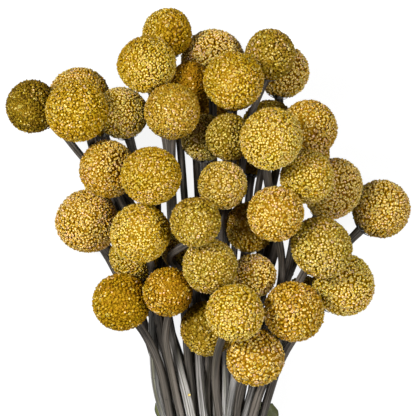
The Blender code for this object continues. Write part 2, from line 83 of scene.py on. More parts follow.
# Heads: slot, how pale the florets are, which also paints in the light and shade on each head
# (darker for heads that lie in shade, and a value over 1 makes up for deep shade), their
# spacing, how much painted light makes them paler towards one side, and that lit side
# (right, up, forward)
HEAD_LOOKS = {
    "01": ("gold", 0.30, 1.55, 0.35, (-0.5, 0.8, 0.3)),
    "02": ("gold", 0.45, 1.35, 0.30, (0.3, -0.3, 0.8)),
    "03": ("amber", 1.00, 1.55, 0.40, (0.4, 0.8, 0.4)),
    "04": ("gold", 0.42, 1.40, 0.20, (0.0, -0.3, 0.9)),
    "05": ("olive", 0.27, 1.53, 0.20, (0.0, 0.4, 0.8)),
    "06": ("amber", 0.95, 1.58, 0.20, (0.3, 0.4, 0.8)),
    "07": ("moss", 0.15, 1.49, 0.20, (-0.3, 0.0, 0.8)),
    "08": ("amber", 0.48, 1.53, 0.25, (-0.4, 0.7, 0.4)),
    "09": ("gold", 0.34, 1.49, 0.20, (-0.2, 0.2, 0.8)),
    "10": ("gold", 1.30, 1.46, 0.20, (0.5, 0.2, 0.8)),
    "11": ("straw", 0.28, 1.31, 0.30, (0.1, -0.5, 0.8)),
    "12": ("amber", 0.00, 1.40, 0.20, (-0.3, 0.8, 0.4)),
    "13": ("amber", 0.54, 1.44, 0.20, (0.2, 0.2, 0.8)),
    "14": ("gold", 0.42, 1.31, 0.20, (0.0, -0.3, 0.9)),
    "15": ("moss", 1.35, 1.40, 0.15, (0.0, -0.4, 0.8)),
    "16": ("moss", 0.48, 1.40, 0.15, (-0.2, 0.0, 0.9)),
    "17": ("moss", 0.30, 1.46, 0.15, (0.0, 0.5, 0.8)),
    "18": ("gold", 0.65, 1.49, 0.30, (0.3, -0.5, 0.7)),
    "19": ("amber", 0.55, 1.53, 0.20, (0.5, 0.0, 0.8)),
    "20": ("gold", 0.62, 1.46, 0.20, (0.1, 0.1, 0.9)),
    "21": ("amber", 0.85, 1.55, 0.25, (0.5, -0.2, 0.8)),
    "22": ("amber", 0.74, 1.57, 0.20, (0.1, 0.4, 0.8)),
    "23": ("straw", 0.50, 1.44, 0.20, (0.1, 0.2, 0.9)),
    "24": ("olive", 0.28, 1.40, 0.30, (0.0, -0.4, 0.8)),
    "25": ("amber", 0.57, 1.51, 0.20, (0.1, 0.1, 0.9)),
    "26": ("amber", 0.66, 1.51, 0.20, (0.0, 0.0, 1.0)),
    "27": ("gold", 0.50, 1.49, 0.25, (-0.5, -0.2, 0.8)),
    "28": ("gold", 0.55, 1.46, 0.20, (0.0, 0.0, 1.0)),
    "29": ("olive", 0.42, 1.40, 0.20, (-0.1, 0.4, 0.8)),
    "30": ("amber", 0.50, 1.49, 0.15, (0.0, 0.2, 0.9)),
    "31": ("amber", 0.95, 1.55, 0.20, (0.3, 0.1, 0.9)),
    "32": ("olive", 0.42, 1.44, 0.30, (0.2, -0.2, 0.9)),
    "33": ("gold", 0.85, 1.68, 0.20, (0.2, 0.3, 0.8)),
    "34": ("gold", 0.05, 1.62, 0.30, (-0.8, -0.2, 0.5)),
    "35": ("amber", 0.18, 1.46, 0.35, (-0.8, -0.2, 0.5)),
    "36": ("gold", 0.56, 1.62, 0.25, (0.1, -0.3, 0.8)),
    "37": ("olive", 0.20, 1.62, 0.35, (0.3, -0.9, 0.3)),
    "38": ("amber", 0.44, 1.66, 0.20, (0.1, -0.1, 0.9)),
    "39": ("amber", 0.60, 1.92, 0.20, (0.2, 0.1, 0.9)),
    "40": ("moss", 1.40, 1.44, 0.10, (0.6, 0.0, 0.8)),
    "41": ("amber", 0.40, 1.49, 0.20, (0.0, -0.5, -0.8)),
    "42": ("gold", 0.46, 1.53, 0.20, (0.0, 0.5, -0.8)),
    "43": ("amber", 0.42, 1.53, 0.20, (0.3, 0.0, -0.8)),
    "44": ("gold", 0.48, 1.49, 0.20, (0.0, -0.6, -0.8)),
    "45": ("olive", 0.44, 1.46, 0.20, (0.4, -0.4, -0.8)),
    "46": ("gold", 0.44, 1.49, 0.20, (-0.5, 0.2, -0.8)),
    "47": ("amber", 0.46, 1.53, 0.20, (0.0, 0.4, -0.8)),
    "48": ("gold", 0.44, 1.46, 0.20, (-0.5, -0.3, -0.8)),
}

# Shape of a floret, in parts of the spacing between florets. The first of two values is
# for a closed bud and the second for an open cup.
FLORET_SIDES = 5
FLORET_WIDE = (0.60, 0.54)
BELLY_HIGH = (-0.32, -0.04)
TIP_HIGH = (0.25, -0.26)
FOOT_DEEP = 1.10
CORE_DEEP = 0.55
CORE_SIDES = 16
CORE_RINGS = 11
HONEYCOMB = 0.866

# How far up the floret's colours its belly and its tip are, for a bud and for a cup
BELLY_COLOUR = (0.28, 0.80)
TIP_COLOUR = (1.0, 0.42)

# Shares of the florets that are open cups, that are paler and that are cream (their tips
# carry painted highlights), and how much the rest differ
CUP_SHARE = 0.34
PALER_SHARE = 0.20
CREAM_HIGHLIGHT_SHARE = 0.09
PALE_SPREAD = 0.15

# Florets: side of a deep one, side of a pale one, tip of a pale one, which is partly the
# floret's own pale tip and partly a painted highlight
FLORET_COLOURS = {
    "gold": ((0.330, 0.172, 0.001), (0.585, 0.360, 0.006), (1.00, 0.83, 0.33)),
    "amber": ((0.290, 0.132, 0.001), (0.585, 0.332, 0.008), (1.00, 0.81, 0.36)),
    "olive": ((0.220, 0.120, 0.002), (0.550, 0.362, 0.026), (1.00, 0.85, 0.40)),
    # moss is a darker copy of gold: painted shade for heads that lie deep in the bunch
    "moss": ((0.120, 0.064, 0.001), (0.430, 0.272, 0.008), (0.98, 0.80, 0.30)),
    "straw": ((0.350, 0.190, 0.004), (0.590, 0.375, 0.030), (1.00, 0.84, 0.40)),
}
# Painted shade: multiplied into the foot of every floret, where the crevices between florets
# lie
GROOVE_SHADE_TINT = (0.60, 0.53, 0.15)
GREENER_TINT = (0.93, 1.01, 0.80)
PINKER_TINT = (1.02, 0.93, 1.55)

FLORET_SHINE = 0.12

# Hue bands on a floret's map, from the foot up: greener, plain and pinker
HUE_BANDS = 3

# The loose floret on the stems: steps across and down the photo, whose middle step is
# straight under the camera, and how far a step leans from straight down
STRAY_FLORET = (189.0, 395.0)
MIDDLE_STEP = 208.0
STEP_LEAN = 0.52 / 1300
STRAY_RINGS = ((0.30, -0.25), (0.72, 0.15), (0.80, 0.55), (0.58, 0.95), (0.16, 1.20))

# Stems
STEM_SIDES = 14
STEM_STEP = 4.0
STEM_TAPER = 0.10
STEM_SLIM = 0.965
SCAR_EVERY = 42.0
SCALES = 9
# Bark colours, mixed round each stem by broad streaks: partly real streaking and partly painted
# light and shade on the stem's two sides
STEM_PALE_LIT = ((0.570, 0.554, 0.534), (0.470, 0.456, 0.434), (0.660, 0.642, 0.616))
STEM_DEEP_SHADED = ((0.125, 0.118, 0.108), (0.092, 0.088, 0.080), (0.160, 0.150, 0.138))

# A scar: place round the stem and along it, and height, of its rim and of its middle
SCAR_OUTLINE = (
    (-0.62, 0.0, 0.05), (-0.40, -0.40, 0.20), (0.0, -0.55, 0.28), (0.40, -0.40, 0.20),
    (0.62, 0.0, 0.05), (0.36, 0.40, 0.16), (0.0, 0.6, 0.08), (-0.36, 0.40, 0.16),
    (0.0, 0.10, 0.36),
)

# A small scale under the head: part of the way out, and half width there
SCALE_SHAPE = ((0.0, 0.95), (0.4, 1.05), (0.75, 0.62), (1.0, 0.06))
SCALE_LENGTH = 3.4

# Ribbon
RIBBON_THICK = 0.36
WRAP_WIDTH = 15.6
WRAP_TURNS = 2
RIB_STEP = 0.00052
LOOP_LINE = (
    (0.00, 5.6), (0.12, 3.6), (0.28, 1.5), (0.50, 0.6), (0.75, 0.6), (0.92, 1.2),
    (0.99, 3.0), (1.00, 5.4), (0.93, 7.9), (0.78, 9.8), (0.55, 10.6), (0.32, 10.3),
    (0.14, 9.2), (0.00, 8.0),
)
LOOP_WIDTHS = ((0.0, 8.0), (0.25, 14.0), (0.5, 16.0), (0.80, 15.5), (0.90, 13.2),
               (0.96, 9.6), (1.0, 5.0))
LOOPS = (
    (-1.0, "bow_loop_left", (-29.0, 32.0, 0.0), (0.80, 0.60, 0.0)),
    (1.0, "bow_loop_right", (33.7, 28.9, 0.0), (-0.71, 0.70, 0.0)),
)
TAIL_LINE = ((-0.1, 6.2), (0.0, 6.0), (0.12, 3.6), (0.25, 1.2), (0.40, 0.5), (0.55, 1.5),
             (0.70, 2.4), (0.85, 1.2), (1.0, 0.5), (1.1, 0.5))
TAIL_WIDTHS = ((0.0, 6.0), (0.30, 14.0), (1.0, 15.6))
TAILS = (
    (-1.0, "ribbon_tail_left", (-31.0, -84.0, 0.0)),
    (1.0, "ribbon_tail_right", (35.0, -74.0, 0.0)),
)

# Studio: name, place in metres, width in metres and power of each lamp
LAMPS = (
    ("key_light", (0.60, 0.05, 1.15), 0.40, 9.0),
    ("low_light", (-0.45, -0.95, 0.85), 0.40, 6.5),
    ("left_light", (-0.70, 0.45, 1.10), 0.35, 15.5),
)
LAMPS_AIM = (0.0, 0.08, 0.05)
ROOM_LIGHT = 0.16
FLOOR_HALF = 6.0
FLOOR_BELOW = 0.00005
FLOOR_GLOW = 0.90

WHITE = (1.0, 1.0, 1.0, 1.0)


# Small sums

def unit(vectors):
    return vectors / (np.linalg.norm(vectors, axis=-1, keepdims=True) + 1e-12)


def squares_to(axis):
    """Two directions square to axis and to each other."""
    helper = np.where(np.abs(axis[..., 1:2]) < 0.8, (0.0, 1.0, 0.0), (1.0, 0.0, 0.0))
    first = unit(np.cross(helper, axis))
    return first, np.cross(axis, first)


def through(stops, at):
    """A smooth curve through (place, value) stops, read at one or more places."""
    places = np.array([stop[0] for stop in stops])
    values = np.array([stop[1] for stop in stops])
    slopes = np.gradient(values, places)
    at = np.clip(np.asarray(at, float), places[0], places[-1])
    k = np.clip(np.searchsorted(places, at) - 1, 0, len(places) - 2)
    gap = places[k + 1] - places[k]
    part = (at - places[k]) / gap
    h00 = 2 * part ** 3 - 3 * part ** 2 + 1
    h10 = part ** 3 - 2 * part ** 2 + part
    h01 = 3 * part ** 2 - 2 * part ** 3
    h11 = part ** 3 - part ** 2
    return (h00 * values[k] + h10 * gap * slopes[k] + h01 * values[k + 1]
            + h11 * gap * slopes[k + 1])


def run_along(points):
    """How far along a line each of its points is."""
    return np.concatenate([[0.0], np.cumsum(np.linalg.norm(np.diff(points, axis=0), axis=1))])


def ways_round(angles, first, second):
    """Directions at angles round an axis, from two that are square to it."""
    return np.cos(angles)[..., None] * first + np.sin(angles)[..., None] * second


def evenly(points, step, closed=False):
    """Points step apart on a smooth line through the given points."""
    if closed:
        points = np.vstack([points, points[:1]])
    run = run_along(points)
    count = max(int(round(run[-1] / step)), 4)
    at = np.linspace(0.0, run[-1], count + 1)
    line = np.stack([through(list(zip(run, points[:, c])), at) for c in range(3)], axis=1)
    return line[:-1] if closed else line


# Meshes

def make_piece(name, points, triangles, maps, looks, look_of_face=None):
    """A smooth-shaded piece from points, corner numbers and maps given per corner."""
    mesh = bpy.data.meshes.new(name)
    mesh.vertices.add(len(points))
    mesh.vertices.foreach_set("co", np.asarray(points, np.float32).ravel())
    mesh.loops.add(3 * len(triangles))
    mesh.loops.foreach_set("vertex_index", np.asarray(triangles, np.int32).ravel())
    mesh.polygons.add(len(triangles))
    mesh.polygons.foreach_set("loop_start", np.arange(0, 3 * len(triangles), 3, dtype=np.int32))
    mesh.polygons.foreach_set("use_smooth", np.ones(len(triangles), bool))
    for look in looks:
        mesh.materials.append(look)
    if look_of_face is not None:
        mesh.polygons.foreach_set("material_index", np.asarray(look_of_face, np.int32))
    for title, values in maps.items():
        layer = mesh.uv_layers.new(name=title, do_init=False)
        layer.data.foreach_set("uv", np.asarray(values, np.float32).ravel())
    mesh.update(calc_edges=True)
    piece = bpy.data.objects.new(name, mesh)
    bpy.context.scene.collection.objects.link(piece)
    return piece


def skin(rows, closed=False):
    """Triangles over rows of points that each go once round, with their row and column."""
    count, around = len(rows), len(rows[0])
    i = np.arange(count if closed else count - 1)
    j = np.arange(around)
    i, j = [part.ravel() for part in np.meshgrid(i, j, indexing="ij")]
    corners = np.array([(0, 0), (0, 1), (1, 1), (0, 0), (1, 1), (1, 0)])
    row = i[:, None] + corners[:, 0]
    column = j[:, None] + corners[:, 1]
    number = (row % count) * around + column % around
    return (number.reshape(-1, 3), row.reshape(-1, 3).astype(float),
            column.reshape(-1, 3).astype(float))


def cap(rows, last):
    """A fan of triangles that closes the first row or the last."""
    around = len(rows[0])
    start = (len(rows) - 1) * around if last else 0
    order = np.arange(1, around - 1)
    fan = np.stack([np.zeros_like(order), order, order + 1], axis=1) + start
    return fan if last else fan[:, ::-1]


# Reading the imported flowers

def welded(node):
    """A node's corner points, each once, and the numbers of those joined to each."""
    mesh = node.data
    raw = np.empty(3 * len(mesh.vertices))
    mesh.vertices.foreach_get("co", raw)
    raw = raw.reshape(-1, 3)
    _, first, number = np.unique(np.round(raw / 1e-5), axis=0, return_index=True,
                                 return_inverse=True)
    number = number.reshape(-1)
    joined = [set() for _ in first]
    for face in mesh.polygons:
        corners = [number[v] for v in face.vertices]
        for corner in corners:
            joined[corner].update(other for other in corners if other != corner)
    return raw[first], joined


def rings_of(node):
    """Rings of points, from the crown of the head to the cut end of the stem."""
    points, joined = welded(node)
    crown = max(range(len(points)), key=lambda k: len(joined[k]))
    seen, edge, rings = {crown}, [crown], []
    while edge:
        rings.append(points[edge])
        edge = sorted({k for place in edge for k in joined[place]} - seen)
        seen.update(edge)
    return rings


def read_flower(node):
    """Centre, axis, half width, half length, stem line and stem radius of a flower."""
    rings = rings_of(node)
    crown, wide = rings[0][0], rings[1:7]
    top, bottom = wide[0].mean(axis=0), wide[5].mean(axis=0)
    axis = unit(crown - bottom)
    half_length = np.linalg.norm(top - bottom) / (math.cos(LOW_RING) + math.cos(HIGH_RING))
    centre = bottom + axis * half_length * math.cos(LOW_RING)
    middle = wide[2]
    half_width = (np.linalg.norm(middle - middle.mean(axis=0), axis=1).mean()
                  / math.sin(WIDE_RING))
    stem_rings = rings[7:]
    line = np.array([ring.mean(axis=0) for ring in stem_rings])[::-1]
    stem_radius = np.linalg.norm(stem_rings[0] - stem_rings[0].mean(axis=0), axis=1).mean()
    return centre, axis, half_width, half_length, line, stem_radius


# Florets

def lumps(directions, rng):
    """How far a head swells or sinks, as a share of its radius."""
    swell = np.zeros(len(directions))
    for _ in range(4):
        way = unit(rng.normal(size=3))
        swell += 0.009 * np.cos(rng.uniform(2.0, 4.5) * (directions @ way)
                                + rng.uniform(0, 6.28))
    return swell


def floret_spots(count, spread, rng):
    """Directions set evenly over a ball in a spiral, each a little off its place."""
    k = np.arange(count) + 0.5
    height = 1 - 2 * k / count
    flat = np.sqrt(1 - height ** 2)
    turn = k * GOLDEN_TURN
    spots = np.stack([flat * np.cos(turn), flat * np.sin(turn), height], axis=1)
    return unit(spots + rng.normal(size=spots.shape) * spread)


def bud_or_cup(cup, pair):
    return np.where(cup, pair[1], pair[0])


def set_florets(root, out, pitch, rng):
    """Every floret's foot, belly and tip, and which of them are open cups."""
    count = len(root)
    out = unit(out + rng.normal(size=out.shape) * 0.13)
    first, second = squares_to(out)
    turn = rng.uniform(0, 6.28, count)
    big = rng.normal(1.0, 0.12, count).clip(0.7, 1.35)
    lift = rng.normal(0.0, 0.11, count).clip(-0.3, 0.3) * pitch
    cup = rng.random(count) < CUP_SHARE

    angle = turn[:, None] + np.arange(FLORET_SIDES) * 2 * math.pi / FLORET_SIDES
    round_ = ways_round(angle, first[:, None], second[:, None])
    wide = (bud_or_cup(cup, FLORET_WIDE) * big)[:, None]
    wide = wide * rng.normal(1.0, 0.09, angle.shape).clip(0.75, 1.25)
    belly_high = bud_or_cup(cup, BELLY_HIGH)[:, None] + rng.normal(0, 0.05, angle.shape)
    tip_high = bud_or_cup(cup, TIP_HIGH) * np.sqrt(big)
    foot = root - out * FOOT_DEEP * pitch
    belly = (root[:, None] + round_ * (wide * pitch)[..., None]
             + out[:, None] * (belly_high * pitch + lift[:, None])[..., None])
    tip = root + out * (tip_high * pitch + lift)[:, None]
    return np.concatenate([foot[:, None], belly, tip[:, None]], axis=1), cup


def floret_faces(count):
    """Triangles of all the florets: each has a foot, a belly ring and a tip."""
    step = np.arange(FLORET_SIDES)
    low, high = step + 1, (step + 1) % FLORET_SIDES + 1
    tip = FLORET_SIDES + 1
    faces = np.concatenate([np.stack([0 * step, high, low], axis=1),
                            np.stack([low, high, 0 * step + tip], axis=1)])
    return (faces[None] + (tip + 1) * np.arange(count)[:, None, None]).reshape(-1, 3)


def shade_florets(pale, painted_light_towards_side, cup, spots, rng, shape):
    """The florets' places on the map: across it how pale, up it the hue and the height."""
    count = len(spots)
    # Each head's paleness and its paler side carry painted light and shade
    shade = pale + painted_light_towards_side + rng.normal(0, PALE_SPREAD, count)
    bright = rng.random(count)
    shade = shade + (bright < PALER_SHARE) * rng.uniform(0.2, 0.6, count) * (0.35 + pale)
    # Cream florets carry painted highlights on their tips
    cream_highlight = rng.uniform(0.55, 0.95, count)
    shade = np.where(bright > 1 - CREAM_HIGHLIGHT_SHARE, np.maximum(shade, cream_highlight), shade)
    shade = shade.clip(0.03, 0.97)
    # Corners of one floret lie a little apart on the map, so that none of its faces is flat
    apart = np.concatenate([[0.004], (np.arange(FLORET_SIDES) - 2) * 0.005, [-0.004]])
    height = np.concatenate([np.zeros((count, 1)),
                             bud_or_cup(cup, BELLY_COLOUR)[:, None].repeat(FLORET_SIDES, 1),
                             bud_or_cup(cup, TIP_COLOUR)[:, None]], axis=1)
    height[:, 1:-1] += rng.normal(0, 0.05, (count, FLORET_SIDES))
    patch = 20 * lumps(spots * 1.6, shape) + rng.normal(0, 0.45, count)
    band = np.where(patch < -0.55, 0, np.where(patch > 0.60, 2, 1))
    level = (band[:, None] + 0.05 + 0.90 * height.clip(0, 1)) / HUE_BANDS
    return np.stack([shade[:, None] + apart[None], level], axis=-1).reshape(-1, 2)


def head_core(centre, turned, size):
    """The ball that the florets stand on, dark with the painted crevice shade."""
    around = np.arange(CORE_SIDES) * 2 * math.pi / CORE_SIDES
    rows = []
    for polar in np.linspace(0.02, math.pi - 0.02, CORE_RINGS):
        way = np.stack([math.sin(polar) * np.cos(around), math.sin(polar) * np.sin(around),
                        np.full(CORE_SIDES, -math.cos(polar))], axis=1)
        rows.append(centre + (way * size) @ turned)
    faces, row, column = skin(rows)
    # The core takes a floret's foot colour, so it is dark with the painted crevice shade
    groove_shade = np.stack([column.ravel() / CORE_SIDES, 0.336 + row.ravel() * 0.001], axis=1)
    return np.concatenate(rows), faces, groove_shade


def grow_head(label, flower, look):
    """One head: a core dark with painted crevice shade, set with florets, some closed buds and
    some open cups.
    """
    tint, pale, pitch, painted_light_slant, side = HEAD_LOOKS[label]
    rng = np.random.default_rng(100 + int(label))
    shape = np.random.default_rng(700 + int(label))
    centre, axis, half_width, half_length, _, stem_radius = flower
    turned = np.stack([*squares_to(axis), axis])
    pitch = pitch * MM
    size = np.array([half_width, half_width, half_length])
    count = int(4 * math.pi * half_width * half_length / (HONEYCOMB * pitch ** 2))
    spots = floret_spots(count, 0.26 * pitch / half_width, rng)
    spots = spots[spots[:, 2] > -math.cos(1.02 * stem_radius / half_width)]
    swell = 1 + lumps(spots, shape)
    root = centre + (spots * size * swell[:, None]) @ turned
    florets, cup = set_florets(root, unit((spots / size) @ turned), pitch, rng)
    florets = florets.reshape(-1, 3)
    triangles = floret_faces(len(spots))

    # Painted light: florets turn paler towards the side of the head that the lamps light
    painted_light_towards_side = painted_light_slant * (unit(root - centre) @ unit(np.array(side, float)))
    place = shade_florets(pale, painted_light_towards_side, cup, spots, rng, shape)
    core, core_faces, groove_shade = head_core(centre, turned, size - CORE_DEEP * pitch)
    piece = make_piece("head_" + label, np.concatenate([florets, core]),
                       np.concatenate([triangles, core_faces + len(florets)]),
                       {"OFBake": np.concatenate([place[triangles.ravel()], groove_shade])}, [look])
    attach(piece, "root")
    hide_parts("flower_" + label)


def drop_floret(look):
    """A loose floret, caught on the uppermost stem at the place where the photo shows it."""
    across, down = STRAY_FLORET
    way = unit(np.array([(across - MIDDLE_STEP) * STEP_LEAN,
                         (MIDDLE_STEP - down) * STEP_LEAN, -1.0]))
    bpy.context.view_layer.update()
    found = []
    for piece in bpy.data.objects:
        if piece.name.startswith("stem_"):
            hit, spot, normal, _ = piece.ray_cast(Vector(CAMERA_SPOT), Vector(way))
            if hit:
                found.append((spot[2], np.array(spot), np.array(normal)))
    _, spot, normal = max(found, key=lambda one: one[0])
    round_ = ways_round(np.arange(7) * 2 * math.pi / 7, *squares_to(normal))
    rows = [spot + round_ * wide * MM + normal * high * MM for wide, high in STRAY_RINGS]
    faces, row, column = skin(rows)
    ends = np.concatenate([cap(rows, False), cap(rows, True)])
    sides_map = np.stack([0.80 + column.ravel() * 0.004,
                          (1.10 + 0.20 * row.ravel()) / HUE_BANDS], axis=1)
    ends_map = np.stack([0.80 + np.arange(ends.size) * 0.0005,
                         np.where(ends.ravel() < 7, 0.36, 0.64)], axis=1)
    piece = make_piece("stray_floret", np.concatenate(rows), np.concatenate([faces, ends]),
                       {"OFBake": np.concatenate([sides_map, ends_map])}, [look])
    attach(piece, "root")


# Stems

def smooth_line(line, turns):
    """The same line with its small kinks taken out and its ends kept."""
    for _ in range(turns):
        line[1:-1] += 0.5 * ((line[:-2] + line[2:]) / 2 - line[1:-1])
    return line


def frames_along(line):
    """Directions along a line, and two square to it that turn as little as they can."""
    along = unit(np.gradient(line, axis=0))
    side = np.zeros_like(line)
    side[0] = squares_to(along[:1])[0][0]
    for k in range(1, len(line)):
        side[k] = side[k - 1] - along[k] * (side[k - 1] @ along[k])
        side[k] /= np.linalg.norm(side[k])
    return along, side, np.cross(along, side)


def stem_rows(line, frames, run, radius, rng):
    """Rings of points along a stem: fluted, a little crooked, and cut askew at its foot."""
    along, side, other = frames
    whole = run[-1]
    theta = np.arange(STEM_SIDES) * 2 * math.pi / STEM_SIDES
    twist = rng.uniform(-9, 9) * run + rng.uniform(0, 6.28)
    angle = theta[None] + twist[:, None]
    ridges = rng.integers(4, 7)
    flute = (0.050 * np.cos(ridges * angle + 0.8 * np.sin(run * 60)[:, None])
             + 0.030 * np.cos(3 * angle + run[:, None] * 45))
    swell = 1 + 0.025 * np.sin(run * rng.uniform(60, 120) + rng.uniform(0, 6))
    swell = swell * (1 - STEM_TAPER * run / whole)
    flare = 1 + 0.30 * np.exp(-((whole - 1.6 * MM - run) / (2.4 * MM)) ** 2)
    wide = radius * STEM_SLIM * (swell * flare)[:, None] * (1 + flute)
    crook = 0.18 * MM * np.stack([np.sin(run * 90 + rng.uniform(0, 6)),
                                  np.cos(run * 70 + rng.uniform(0, 6))], axis=1)
    middle = line + side * crook[:, :1] + other * crook[:, 1:]
    round_ = ways_round(theta[None], side[:, None], other[:, None])
    rows = middle[:, None] + wide[..., None] * round_
    cut_slope = rng.uniform(-0.35, 0.35, 2)
    tilt = (rows[0] - middle[0]) @ np.stack([side[0], other[0]], axis=1) @ cut_slope
    rows[0] = rows[0] - along[0] * tilt[:, None]
    return rows, np.stack([np.cos(theta), np.sin(theta)], axis=1)


def grow_stem(label, flower, looks):
    """One stem with its cut end, its leaf scars, and the small scales under the head."""
    rng = np.random.default_rng(300 + int(label))
    centre, axis, half_width, half_length, line, radius = flower
    neck = centre - axis * half_length
    line = np.vstack([line, neck + axis * 1.6 * MM])
    line = smooth_line(evenly(line, STEM_STEP * MM), 5)
    frames = frames_along(line)
    run = run_along(line)
    rows, rim = stem_rows(line, frames, run, radius, rng)
    points = rows.reshape(-1, 3)
    seed = int(label) * 3.7
    bark, pith, pit = range(3)

    # On the baked map the bark fills the left, and the rest stands in a strip at the right
    sides, row, column = skin(rows)
    row, column = row.ravel(), column.ravel() / STEM_SIDES
    end = cap(rows, False)
    end_map = rim[end.ravel()] * 0.5 + 0.5
    parts = [(bark, sides, np.stack([column, run[row.astype(int)] + seed], axis=1),
              np.stack([0.02 + 0.80 * column, 0.01 + 0.98 * row / (len(rows) - 1)], axis=1)),
             (pith, end, end_map, end_map * 0.13 + (0.85, 0.01))]

    extras = []
    for _ in range(int(run[-1] / (SCAR_EVERY * MM))):
        at = rng.uniform(0.06, 0.9) * run[-1]
        k = int(np.searchsorted(run, at)) - 1
        turn = rng.uniform(0, 6.28)
        extras.append((pit, *scar(line[k], [way[k] for way in frames], turn, radius * 0.93,
                                  rng.uniform(0.8, 1.25))))
    for k in range(SCALES):
        extras.append((bark, *scale_leaf(neck, axis, half_width, half_length, radius,
                                         k * 2 * math.pi / SCALES + rng.uniform(-0.2, 0.2),
                                         rng.uniform(0.8, 1.2))))
    for n, (look, more, more_faces, flat_map) in enumerate(extras):
        spot = flat_map[more_faces.ravel()]
        parts.append((look, more_faces + len(points), spot * (0.2, 0.004) + (0.1 * n % 1, seed),
                      spot * (0.13, 0.030) + (0.85, 0.16 + 0.83 * (n % 24) / 24)))
        points = np.concatenate([points, more])
    look_of_part, faces, run_of, bake = zip(*parts)
    piece = make_piece("stem_" + label, points, np.concatenate(faces),
                       {"OFBake": np.concatenate(bake), "run": np.concatenate(run_of)}, looks,
                       np.repeat(look_of_part, [len(part) for part in faces]))
    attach(piece, "root")
    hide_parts("flower_" + label)


def scar(spot, frame_here, turn, radius, size):
    """The small raised pit where a leaf once sat."""
    along, side, other = frame_here
    out = math.cos(turn) * side + math.sin(turn) * other
    round_ = np.cross(along, out)
    points = []
    for a, b, high in SCAR_OUTLINE:
        wide = a * 0.75
        points.append(spot + radius * (math.cos(wide) * out + math.sin(wide) * round_)
                      + out * high * MM * size + along * b * 1.5 * MM * size)
    middle = len(SCAR_OUTLINE) - 1
    rim = np.arange(middle)
    faces = np.stack([rim, (rim + 1) % middle, np.full(middle, middle)], axis=1)
    flat = np.array([(a * 0.5 + 0.5, b * 0.5 + 0.5) for a, b, _ in SCAR_OUTLINE])
    return np.array(points), faces, flat


def scale_leaf(neck, axis, half_width, half_length, radius, turn, size):
    """One small dry scale, lying against the underside of the head."""
    across, up = squares_to(axis)
    out = math.cos(turn) * across + math.sin(turn) * up
    round_ = np.cross(axis, out)
    points, flat = [], []
    for part, half in SCALE_SHAPE:
        reach = radius * 0.8 + part * SCALE_LENGTH * MM * size
        sink = half_length * (1 - math.sqrt(max(0.0, 1 - (reach / half_width) ** 2)))
        wide = half * MM * size
        spot = neck + axis * (sink - (0.75 - 0.3 * part) * MM) + out * reach
        points += [spot - round_ * wide, spot - axis * 0.25 * MM, spot + round_ * wide]
        flat += [(0.0, part), (0.5, part), (1.0, part)]
    faces = []
    for k in range(3):
        for j in range(2):
            a, b = 3 * k + j, 3 * k + j + 1
            faces += [(a, b, b + 3), (a, b + 3, a + 3)]
    return np.array(points), np.array(faces), np.array(flat)


# Ribbon

def ribbon_ends(count, columns, run):
    """Faces that close the two ends of an open ribbon, and their places on its maps."""
    around = 2 * columns
    t = np.linspace(0, 1, columns)
    t = np.concatenate([t, t[::-1]])
    faces, run_of, bake = [], [], []
    for at_end in (False, True):
        start = (count - 1) * around if at_end else 0
        j = np.arange(columns - 1)
        a, b = start + j, start + j + 1
        c, d = start + around - 1 - j, start + around - 2 - j
        strip = np.concatenate([np.stack([a, b, d], 1), np.stack([a, d, c], 1)])
        strip = strip if at_end else strip[:, ::-1]
        corner = strip.ravel() % around
        low = corner >= columns
        faces.append(strip)
        run_of.append(np.stack([t[corner], run[count - 1] * at_end + low * 0.0004], 1))
        bake.append(np.stack([t[corner], (0.99 if at_end else 0.0) + 0.01 * low], axis=1))
    return faces, run_of, bake


def lay_ribbon(name, node, centres, sides, outs, widths, crown, look, closed=False,
               columns=13, notch=None):
    """A thin ribbon along a line, crowned or pleated by crown(row, place across)."""
    count = len(centres)
    t = np.linspace(-1, 1, columns)
    lift = np.array([[crown(k, x) for x in t] for k in range(count)])
    surface = (centres[:, None] + sides[:, None] * (t[None, :, None] * widths[:, None, None]
                                                    / 2) + outs[:, None] * lift[..., None])
    if notch is not None:
        surface = surface + notch(count, t)
    down = np.gradient(surface, axis=0)
    if closed:
        down = np.roll(surface, -1, axis=0) - np.roll(surface, 1, axis=0)
    over = np.gradient(surface, axis=1)
    face_out = unit(np.cross(over, down))
    face_out = face_out * np.sign((face_out * outs[:, None]).sum(axis=2, keepdims=True))
    half = face_out * RIBBON_THICK * MM / 2
    rows = np.concatenate([surface - half, (surface + half)[:, ::-1]], axis=1)
    faces, row, column = skin(rows, closed)
    around = 2 * columns
    place = np.concatenate([t, t[::-1]])[column.astype(int) % around] * 0.5 + 0.5
    run = run_along(np.vstack([centres, centres[:1]]))
    run_of = np.stack([place.ravel(), run[row.astype(int)].ravel()], axis=1)
    last = count if closed else count - 1
    bake = np.stack([0.01 + 0.98 * column.ravel() / around,
                     0.01 + 0.98 * row.ravel() / last], axis=1)
    if not closed:
        more_faces, more_run, more_bake = ribbon_ends(count, columns, run)
        faces = np.concatenate([faces, *more_faces])
        run_of = np.concatenate([run_of, *more_run])
        bake = np.concatenate([bake, *more_bake])
    piece = make_piece(name, rows.reshape(-1, 3), faces, {"OFBake": bake, "run": run_of},
                       [look])
    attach(piece, "root")
    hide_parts(node)
    return piece, float(run[last])


def knot_box():
    """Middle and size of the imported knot, in metres."""
    low, high = [np.array(corner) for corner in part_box("ribbon_knot")]
    return (low + high) / 2, high - low


def from_knot(across, along, end):
    """A start beside the knot, and the reach from there to an end beside the tie."""
    knot = knot_box()[0] / MM
    start = np.array([knot[0] + across, knot[1] + along, 0.0])
    return start, TIE + np.array(end) - start


